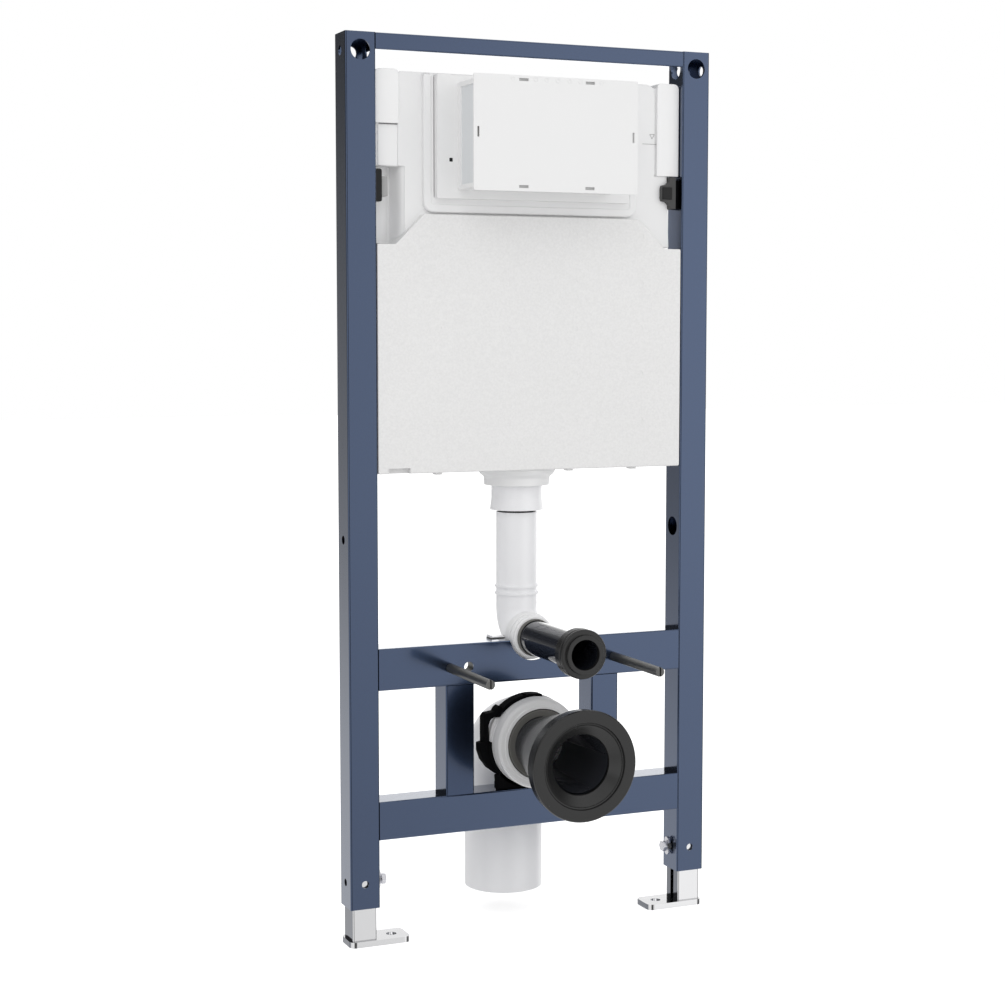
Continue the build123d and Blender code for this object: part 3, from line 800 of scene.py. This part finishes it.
class BuildJacket(bpy.types.Operator):
    """Build the foam jacket of the cistern with the boss over its outlet"""

    bl_idname = "toilet_frame.build_jacket"
    bl_label = "Foam jacket"

    def execute(self, context):
        outline = softened(
            [
                (-CISTERN, 595.5, 3), (CISTERN, 595.5, 3), (CISTERN, 879, 2), (186, 879, 3),
                (148.5, 916.5, 6), (-148.5, 916.5, 6), (-186, 879, 3), (-CISTERN, 879, 2),
            ]
        )
        jacket = slab("jacket", outline, 0, 112)
        rounded(jacket, sizes().jacket_edge / MM, 4, 60)
        recess = block("recess", (-197, -2, 590), (-168, 9, 602.5))
        marks = [
            peg("mark", (x, 0, height), sizes().dimple / MM, 0.9, "Y", 20)
            for x in (-129.5, -36.7, 57.3, 151.4)
            for height in (894, 834, 775, 717, 657)
        ]
        cut(jacket, recess, joined("marks", *marks))
        nubs = [block("nub", (x - 4, 8, 592.6), (x + 4, 20, 598)) for x in (-127, 55, 146)]
        jacket = joined("foam_shell", jacket, *nubs)
        settle(jacket, "bead_foam", stands_for=["foam_jacket"])
        section = softened(
            [
                (30, 600), (30, 573.5), (42.6, 573.5, 1.2), (43, 584, 4), (48, 588, 4),
                (50.7, 593, 2), (50.7, 600),
            ]
        )
        boss = turned_upright("outlet_boss", section, FLUSH_DEPTH)
        settle(boss, "tank_white")
        return {"FINISHED"}


class BuildTank(bpy.types.Operator):
    """Build the smooth tank with its rim, ears and column"""

    bl_idname = "toilet_frame.build_tank"
    bl_label = "Tank"

    def execute(self, context):
        front = softened(
            [
                (-148.5, 915), (-171, 893), (-170.5, 975, 1), (-179, 975, 1), (-179, 1090, 5),
                (176, 1090, 14), (176, 973, 1), (194, 973, 1), (197.5, 881), (186, 881),
                (149, 915.5),
            ]
        )
        tank = slab("tank", front, 11, 60)
        rounded(tank, sizes().tank_edge / MM, 4, 50)
        back = softened(
            [
                (-147, 916), (-184, 880), (-CISTERN, 880), (-CISTERN, 1090, 4), (CISTERN, 1090, 4),
                (CISTERN, 975, 2), (190, 975, 2), (190, 880), (184, 880), (147, 916),
            ]
        )
        rear = slab("rear", back, 42, 112)
        rounded(rear, 3, 3, 50)
        hollow = [
            (-168, 11.6), (-170.9, 12.3), (-173.5, 13.8), (-175.8, 16.8), (-177.2, 21.5),
            (-178.4, 27), (-179.8, 32), (-181.8, 35.4), (-184.4, 35.6), (-188, 32.6), (-192.5, 29),
            (-198, 26.6), (-TANK_SIDE, 25),
        ]
        side = pillar("side", [*hollow, (-TANK_SIDE, 60), (-168, 60)], 880.5, 975)
        behind_ears = [
            block("behind_ear", (170, 13, 974), (181, 60, 1086)),
            block("behind_ear", (-TANK_SIDE, 21, 974.5), (-177, 60, 1088)),
        ]
        lip = slab("lip", self.rim(146, 920, 14, 133.7, 936.6), 6.4, 14)
        bead = slab("bead", self.rim(147.2, 918.8, 15, 136.6, 929.4), 5, 14)
        rounded(bead, 4.4, 6, 50)
        tank = joined("tank_shell", tank, rear, side, *behind_ears, lip, bead)
        settle(tank, "tank_white", stands_for=["tank_body"])
        for side, near, far, low in (("left", -178.4, -209.6, 1026.5), ("right", 178.4, 210, 973)):
            outline = softened([(near, low, 1), (far, low, 1), (far, 1092, 8), (near, 1092, 6)])
            ear = rounded(slab(f"{side}_ear_block", outline, 8.5, 38), 3, 4, 50)
            settle(ear, "ear_white", stands_for=[f"{side}_ear"])
        outline = softened([(-205.4, 12.8, 2.5), (-174.5, 12.8), (-174.5, 38), (-204.6, 38)])
        column = rounded(pillar("left_duct", outline, 974.6, 1025.6), 1.6, 3, 60)
        strip = block("strip", (-209.6, 14, 974.6), (-203, 38, 1027))
        column = joined("left_duct", column, strip)
        # The column is painted lighter, as painted light.
        settle(column, "ear_white", stands_for=["left_column"])
        arrow = [
            self.stroke((168.6, 1026.6), (175.4, 1026.6)),
            self.stroke((168.6, 1026.6), (172, 1020.8)),
            self.stroke((175.4, 1026.6), (172, 1020.8)),
            self.stroke((158, 1014), (179.4, 1014)),
        ]
        settle(joined("level_mark", *arrow), "stub_grey")
        return {"FINISHED"}

    def rim(self, outer, low, corner, inner, inner_low):
        """The outline of a frame open at its top, from its outer and inner half widths."""
        return softened(
            [
                (-outer, 1088), (-outer, low, corner), (outer, low, corner), (outer, 1088),
                (inner, 1088), (inner, inner_low, 3), (-inner, inner_low, 3), (-inner, 1088),
            ]
        )

    def stroke(self, start, end):
        """A thin raised line on the tank's front between two points (x, height)."""
        start, end = Vector(start), Vector(end)
        across = (end - start).orthogonal().normalized() * 0.3
        corners = [start - across, end - across, end + across, start + across]
        return slab("stroke", [tuple(corner) for corner in corners], 10.6, 12)


class BuildService(bpy.types.Operator):
    """Build the plate, the service box and its slotted cover"""

    bl_idname = "toilet_frame.build_service"
    bl_label = "Service opening"

    def execute(self, context):
        plate = slab("opening_plate", card(PLATE, 936, 1087.5, 2), -3, 11)
        cut(plate, block("hole", (-116.2, -6, 981.2), (-111.7, 4, 985.8)))
        rounded(plate, 0.7, 2, 50)
        plug = block("plate_hole", (-116.3, -2.2, 981.1), (-111.6, 3, 985.9))
        settle(plug, "plain_black")
        settle(plate, "cover_white", stands_for=["front_plate"])
        box = slab("service_duct", card(BOX, 946.5, 1078, 2), -66, -3)
        cut(box, block("hollow", (-101.5, -80, 950), (101.5, 5, 1074.5)))
        hatches = []
        for sign in (-1, 1):
            low, high = sorted((sign * 103.4, sign * 108))
            cut(box, block("panel", (low, -65.5, 952.5), (high, -14, 1071.5)))
            low, high = sorted((sign * 103, sign * 104.1))
            hatches.append(block("hatch", (low, -65.9, 952), (high, -13.5, 1072)))
        rounded(box, 0.8, 2, 50)
        settle(box, "cover_white", stands_for=["service_box"])
        # The side panels carry painted shade.
        settle(joined("duct_hatching", *hatches), "hatched_white")
        cover = slab("slotted_cover", card(COVER, 942.5, 1082, 2.5), -69, -66)
        slots, catches, pegs = [], [], []
        for x in (-44.75, 44.75):
            for low, high in ((1075.1, 1078.7), (946.3, 949.9)):
                slots.append(block("slot", (x - 6.3, -75, low), (x + 6.3, -60, high)))
                near, far = (x - 7, -66.4, low - 0.8), (x + 7, -65.2, high + 0.8)
                catches.append(block("catch", near, far))
        for x in (104.7, -104.7):
            slots.append(block("slot", (x - 1.3, -75, 1006.2), (x + 1.3, -60, 1018.8)))
            catches.append(block("catch", (x - 1.9, -66.4, 1005.5), (x + 1.9, -65.2, 1019.5)))
        cut(cover, joined("slots", *slots))
        rounded(cover, 0.5, 2, 50)
        for x in (-59.4, -28.9, -14.1, 0.7, 16.9, 31.8, 60.6):
            section = [(-68.7, 1.9), (-69.5, 1.9, 0.2), (-69.5, 2.9, 0.2), (-68.7, 2.9)]
            ring = turned_level("ring", softened(section, 2), 1078, 20)
            self.shift(ring, x)
            pegs.append(ring)
        for x in (-108.4, 108.4):
            for height in (946, 949, 1075.5, 1078.5):
                pegs.append(peg("nub", (x, -69, height), 0.7, 0.5, "Y", 12))
        cover = joined("slotted_cover", cover, *pegs)
        settle(cover, "cover_white", stands_for=["service_cover"])
        settle(catches.pop(), "slot_grey").name = "side_catch"
        settle(joined("cover_catches", *catches), "catch_grey")
        return {"FINISHED"}

    def shift(self, piece, x):
        """Moves a piece sideways in its mesh, in mm."""
        open_edit(piece)
        bpy.ops.transform.translate(value=(x * MM, 0, 0))
        close_edit()


class BuildClips(bpy.types.Operator):
    """Build the two black clips between the tank and the posts"""

    bl_idname = "toilet_frame.build_clips"
    bl_label = "Clips"

    def execute(self, context):
        outline = [(-211, 930.5, 1), (-211, 970.5, 1), (-201.5, 970.5, 3), (-201.5, 930.5, 3)]
        body = rounded(slab("left_clip_block", softened(outline), 6, 32), 0.8, 2, 50)
        settle(body, "plain_black", stands_for=["left_clip"])
        outline = [(-203, 937.6), (-203, 961.5), (-192, 961.5, 1), (-192, 937.6, 1)]
        # The stub is grey as painted shade.
        stub = rounded(slab("left_clip_stub", softened(outline), 12, 34), 0.8, 2, 50)
        settle(stub, "stub_grey")
        outline = [
            (204.6, 931, 1), (204.6, 971.8, 1), (195, 971.8, 1), (194.6, 966, 3), (191, 962.4, 3),
            (184.6, 961, 1.2), (183.5, 957, 1), (183.5, 945, 1), (184.6, 941, 1.2),
            (191, 939.8, 3), (194.4, 936.4, 3), (195, 931, 1),
        ]
        clip = slab("right_clip_frame", softened(outline), 5, 30)
        rounded(clip, 0.7, 2, 50)
        settle(clip, "clip_grey", stands_for=["right_clip"])
        outline = [(184.8, 943, 1), (184.8, 959, 1), (198.8, 959, 1), (198.8, 943, 1)]
        nose = rounded(slab("right_clip_nose", softened(outline), 4.2, 8), 0.5, 2, 50)
        settle(nose, "plain_black")
        core = slab("right_clip_core", [(203, 931.5), (211, 931.5), (211, 968), (203, 968)], 9, 31)
        rounded(core, 0.6, 2, 50)
        settle(core, "clamp_black")
        return {"FINISHED"}


class BuildFlush(bpy.types.Operator):
    """Build the flush line from the tank's outlet to the pan's inlet"""

    bl_idname = "toilet_frame.build_flush"
    bl_label = "Flush line"

    def execute(self, context):
        section = softened([(25, 573.5), (33, 573.5), (33, 556, 8), (35, 541, 1), (25, 541)])
        socket = turned_upright("outlet_sleeve", section, FLUSH_DEPTH)
        settle(socket, "pipe_white", stands_for=["outlet_socket"])
        dress(["flush_pipe", "pipe_saddle"], "pipe_white")
        dress(["socket_seal"], "seal_rubber")
        section = [
            (-7.6, 22.35, 0.3), (-8.4, 22.8, 0.3), (-8.4, 23.3, 0.3), (-7.4, 23.9, 0.4), (14, 23.9),
            (14, 22.35),
        ]
        collar = turned_level("tube_collar", softened(section, 2), FLUSH_HEIGHT)
        settle(collar, "disc_grey", stands_for=["tube_seal"])
        section = [
            (-2, 23.6, 0.5), (-2.4, 24.4, 0.4), (-2, 26.6, 0.8), (0.4, 27.8, 0.3), (0.7, 26, 0.2),
            (1.9, 26, 0.2), (2.2, 28.4, 0.5), (6.4, 29.6, 0.8), (7.6, 29.6, 0.3), (7.9, 27.8, 0.2),
            (9.3, 27.8, 0.2), (9.6, 30.2, 0.6), (13.4, 30.9, 0.6), (22, 30.9, 0.8), (22, 27),
            (13, 27), (13, 23.6),
        ]
        nut = turned_level("ring_nut", softened(section, 3), FLUSH_HEIGHT)
        settle(nut, "nut_white", stands_for=["flush_nut"])
        dress(["flush_tube"], "tube_black")
        section = [
            (-155, 18.7, 0.5), (-155, 24.3, 0.8), (-150.6, 24.6, 0.5), (-150.6, 29.6, 1.4),
            (-148.6, 30.75, 0.8), (-146, 30.75, 0.4), (-145.4, 29.9, 0.2), (-143.6, 29.9, 0.2),
            (-143, 30.75, 0.4), (-131.5, 30.75, 1.2), (-130, 29.4, 0.6), (-130, 22.5),
            (-149, 22.45), (-149, 18.7),
        ]
        seal = turned_level("inlet_seal", softened(section, 3), FLUSH_HEIGHT)
        settle(seal, "seal_rubber", stands_for=["flush_seal"])
        # Painted shadow: a thin dark strip under the saddle, for its shadow and its reflection in
        # the rail's top
        shadow_strip = block("saddle_gap", (-50.1, 23.7, 377.5), (50.1, 38, 378.7))
        settle(rounded(shadow_strip, 0.15, 1, 50), "disc_grey")
        return {"FINISHED"}


class BuildWaste(bpy.types.Operator):
    """Build the waste bend, its ring, the clamp, the pan connector and its seal"""

    bl_idname = "toilet_frame.build_waste"
    bl_label = "Waste line"

    def execute(self, context):
        dress(["waste_bend"], "pipe_white")
        section = [
            (6, 52), (6, 57.5, 0.6), (8.5, 59.3, 0.6), (12, 59.3, 0.5), (13, 58, 0.4),
            (18, 58, 0.6), (18, 52),
        ]
        rim = turned_level("socket_rim", softened(section, 3), RING_HEIGHT)
        settle(rim, "ring_white")
        settle(self.clamp(), "clamp_black", stands_for=["waste_clamp"])
        section = [
            (-23.4, 45.6, 0.5), (-22.7, 49.3, 0.5), (-21.9, 50, 0.5), (-20.8, 54.6, 1.5),
            (-17, 57.2, 2.5), (-8.5, 58.4, 0.5), (-2.5, 58.4, 0.6), (-2.5, 50), (-17, 46),
        ]
        ring = turned_level("waste_ring_nut", softened(section, 3), RING_HEIGHT)
        settle(ring, "ring_white", stands_for=["waste_ring"])
        along = [step / 28 for step in range(29)]
        flare = [(-24 - 107.4 * t, 36.3 + 25 * t + 3.6 * t**3) for t in along]
        mouth = [(-133.2, 64.6), (-133.4, 40), (-141, 37), (-136, 36.6)]
        section = [(-17.5, 33), (-17.5, 36.3), *flare, *mouth, (-20, 33)]
        trumpet = turned_level("connector_neck", section, RING_HEIGHT - 1, 128)
        settle(trumpet, "neck_grey", stands_for=["pan_connector"])
        section = [
            (-17.8, 36), (-24.2, 36, 0.3), (-24.2, 43.8, 0.4), (-23.2, 44.5, 0.3), (-17.8, 44.5),
        ]
        root = turned_level("connector_root", softened(section, 3), RING_HEIGHT)
        settle(root, "disc_grey")
        section = [
            (-154.4, 69, 0.3), (-155, 68.2, 0.3), (-155, 54.4, 0.7), (-152.4, 53.4, 0.4),
            (-152.2, 51.6, 0.4), (-153.4, 50.6, 0.5), (-151.8, 48.6, 0.8), (-143.4, 38.2, 1),
            (-141.8, 37.5, 0.4), (-141.2, 37.6, 0.2), (-133.6, 40.6), (-133, 42), (-133, 66.6, 1),
            (-134.5, 67.7, 0.8), (-152.6, 69.75, 0.8),
        ]
        seal = turned_level("mouth_seal", softened(section, 3), WASTE_HEIGHT, 128)
        settle(seal, "seal_rubber", stands_for=["pan_seal"])
        return {"FINISHED"}

    def clamp(self):
        """The band round the socket, with the two catches beside it and the foot on the rail."""
        section = [(4, 56.8), (4, 61.4), (20, 61.4), (20, 56.8)]
        band = turned_level("band", section, RING_HEIGHT - 0.8)
        floor = block("floor", (-80, -4, 150), (80, 44, 183.7))
        windows = [block("window", (low, -4, 246.5), (low + 22, 30, 278.5)) for low in (-66, 44)]
        cut(band, floor, *windows, block("open", (14, -4, 246), (80, 44, 320)))
        parts = [band, block("nub", (-11.6, 5, 303), (-8.8, 9, 306.2))]
        side = [
            (-41, 289.5), (-45.5, 293, 0.8), (-49.5, 290.2, 0.8), (-52.4, 285.5, 1),
            (-64.4, 284.1, 1.5), (-67.6, 279, 1.5), (-67.6, 247, 0.5), (-73, 246, 0.8),
            (-73, 236, 1), (-69, 224, 2), (-60, 212, 3), (-47, 202.5, 1), (-42, 205), (-50, 218),
            (-55.5, 232), (-56.6, 246.4, 0.5), (-59.6, 248, 0.6), (-60.2, 268, 1),
            (-57.9, 275.4, 1.5), (-52.4, 278.6, 1), (-44.5, 279.4, 0.6), (-38, 285),
        ]
        other = [(-x, height) for x, height, *_ in side if height < 250]
        for outline in (softened(side), other):
            parts.append(rounded(slab("catch", outline, 6, 19), 0.5, 2, 50))
        right = [(50, 183.7), (52, 204, 2), (38, 204), (22, 189)]
        left = [(-x, *rest) for x, *rest in reversed(right)]
        foot = slab("foot", softened([left[-1], *right, *left[:-1]]), 4, 9)
        parts.append(rounded(foot, 0.6, 2, 50))
        parts.append(block("sole", (-40, 8, 183.7), (40, 36, 188)))
        return joined("waste_band", *parts)


class BuildStage(bpy.types.Operator):
    """Set the floor, the soft light and the camera"""

    bl_idname = "toilet_frame.build_stage"
    bl_label = "Stage"

    def execute(self, context):
        settings = context.scene.stage_settings
        context.scene.view_settings.view_transform = "Standard"
        self.add_floor(settings.floor_size)
        self.add_world(settings.ambient)
        self.add_lights(settings.key_power)
        bpy.ops.object.camera_add(location=CAMERA_PLACE, rotation=CAMERA_TURN)
        camera = context.object
        camera.name = "camera"
        camera.data.lens = settings.lens
        camera.data.clip_end = 100
        context.scene.camera = camera
        return {"FINISHED"}

    def add_floor(self, size):
        """A pale floor that looks white to the camera and to glossy pieces, but for the shadow."""
        bpy.ops.mesh.primitive_plane_add(size=size, location=(0, 0, FLOOR - 0.0005))
        floor = bpy.context.object
        floor.name = "floor"
        pale = bpy.data.materials.new("pale_floor")
        pale.use_nodes = True
        tree = pale.node_tree
        surface = tree.nodes["Principled BSDF"]
        surface.inputs["Base Color"].default_value = (0.8, 0.8, 0.8, 1)
        surface.inputs["Roughness"].default_value = 0.9
        surface.inputs["Specular IOR Level"].default_value = 0.0
        glow = put(tree, "ShaderNodeEmission", Color=WHITE, Strength=FLOOR_GLOW)
        bare = surface.outputs["BSDF"]
        lit = put(tree, "ShaderNodeAddShader", bare, glow.outputs["Emission"])
        path = put(tree, "ShaderNodeLightPath").outputs
        seen = worked(tree, "MAXIMUM", path["Is Camera Ray"], path["Is Glossy Ray"])
        mix = put(tree, "ShaderNodeMixShader", seen, bare, lit.outputs["Shader"])
        tree.links.new(mix.outputs["Shader"], tree.nodes["Material Output"].inputs["Surface"])
        floor.data.materials.append(pale)
        floor.visible_glossy = False

    def add_world(self, strength):
        """Even light, with a white background for what is seen and seen through.

        What is mirrored is the same white room with darker gaps between its lamps, so that metal
        and glossy plastic show edges and bands.
        """
        world = bpy.data.worlds.new("studio")
        bpy.context.scene.world = world
        world.use_nodes = True
        tree = world.node_tree
        light = tree.nodes["Background"]
        light.inputs["Color"].default_value = WHITE
        light.inputs["Strength"].default_value = strength
        towards = put(tree, "ShaderNodeTexCoord").outputs["Generated"]
        split = put(tree, "ShaderNodeSeparateXYZ", towards).outputs
        turn = worked(tree, "ARCTAN2", split["X"], worked(tree, "MULTIPLY", split["Y"], -1.0))
        room = [(degrees / 180, (white, white, white, wall)) for degrees, white, wall in ROOM_LIGHT]
        by_turn = self.stops(tree, turn, math.pi, room)
        heights = [(z, (share, white, 0, even)) for z, share, white, even in HEIGHT_LIGHT]
        by_height = self.stops(tree, split["Z"], 1.0, heights)
        parts = put(tree, "ShaderNodeSeparateColor", by_height["Color"]).outputs
        lamps = worked(tree, "MULTIPLY", by_turn["Color"], parts["Red"])
        walls = self.blend(tree, by_turn["Alpha"], lamps, parts["Green"])
        mirrored = self.blend(tree, by_height["Alpha"], walls, 1.0)
        path = put(tree, "ShaderNodeLightPath").outputs
        level = self.blend(tree, path["Is Glossy Ray"], 1.0, mirrored)
        shown = put(tree, "ShaderNodeBackground", Color=WHITE, Strength=level)
        seen = worked(tree, "MAXIMUM", path["Is Camera Ray"], path["Is Transmission Ray"])
        seen = worked(tree, "MAXIMUM", seen, path["Is Glossy Ray"])
        even, room = light.outputs["Background"], shown.outputs["Background"]
        mix = put(tree, "ShaderNodeMixShader", seen, even, room)
        tree.links.new(mix.outputs["Shader"], tree.nodes["World Output"].inputs["Surface"])

    def blend(self, tree, share, first, second):
        """A number between two others, by a share from 0 to 1."""
        mix = put(tree, "ShaderNodeMix", data_type="FLOAT", Factor=share, A=first, B=second)
        return mix.outputs["Result"]

    def stops(self, tree, value, reach, places):
        """A colour ramp from -reach to reach, with (share of the reach, colour) stops."""
        share = put(
            tree,
            "ShaderNodeMapRange",
            interpolation_type="LINEAR",
            Value=value,
            From_Min=-reach,
            From_Max=reach,
        )
        ramp = put(tree, "ShaderNodeValToRGB", share.outputs["Result"])
        elements = ramp.color_ramp.elements
        elements.remove(elements[1])
        (first, shade), *others = [((place + 1) / 2, shade) for place, shade in places]
        elements[0].position, elements[0].color = first, shade
        for position, shade in others:
            elements.new(position).color = shade
        return ramp.outputs

    def add_lights(self, power):
        for name, place, size, share in (
            ("key_light", (-1.2, -2.4, 1.8), 1.6, 1.0),
            ("side_light", (2.1, -2.1, 0.4), 2.2, 0.8),
        ):
            bpy.ops.object.light_add(type="AREA", location=place)
            lamp = bpy.context.object
            lamp.name = name
            lamp.data.size = size
            lamp.data.energy = power * share
            lamp.visible_glossy = False
            aim = Vector((0, 0, -0.5)) - Vector(place)
            lamp.rotation_euler = aim.to_track_quat("-Z", "Y").to_euler()


class FramePanel(bpy.types.Panel):
    """Lists the pieces of the toilet frame"""

    bl_label = "Toilet frame"
    bl_idname = "VIEW3D_PT_toilet_frame"
    bl_space_type = "VIEW_3D"
    bl_region_type = "UI"
    bl_category = "Toilet frame"

    def draw(self, context):
        layout = self.layout
        for name in FrameColours.__annotations__:
            layout.prop(context.scene.frame_colours, name)
        for name in FrameSizes.__annotations__:
            layout.prop(context.scene.frame_sizes, name)
        for piece in PIECES:
            layout.operator(piece.bl_idname)


PIECES = (
    BuildStage,
    DressFrame,
    DressFeet,
    DressStuds,
    BuildJacket,
    BuildTank,
    BuildService,
    BuildClips,
    BuildFlush,
    BuildWaste,
)
CLASSES = (FrameSizes, FrameColours, StageSettings, *PIECES, FramePanel)


def register():
    for made in CLASSES:
        bpy.utils.register_class(made)
    bpy.types.Scene.frame_sizes = PointerProperty(type=FrameSizes)
    bpy.types.Scene.frame_colours = PointerProperty(type=FrameColours)
    bpy.types.Scene.stage_settings = PointerProperty(type=StageSettings)


def unregister():
    del bpy.types.Scene.stage_settings
    del bpy.types.Scene.frame_colours
    del bpy.types.Scene.frame_sizes
    for made in reversed(CLASSES):
        bpy.utils.unregister_class(made)


def main():
    register()
    make_grain_group()
    make_tone_group()
    make_ridge_group()
    for piece in PIECES:
        group, name = piece.bl_idname.split(".")
        getattr(getattr(bpy.ops, group), name)()


if __name__ == "__main__":
    main()
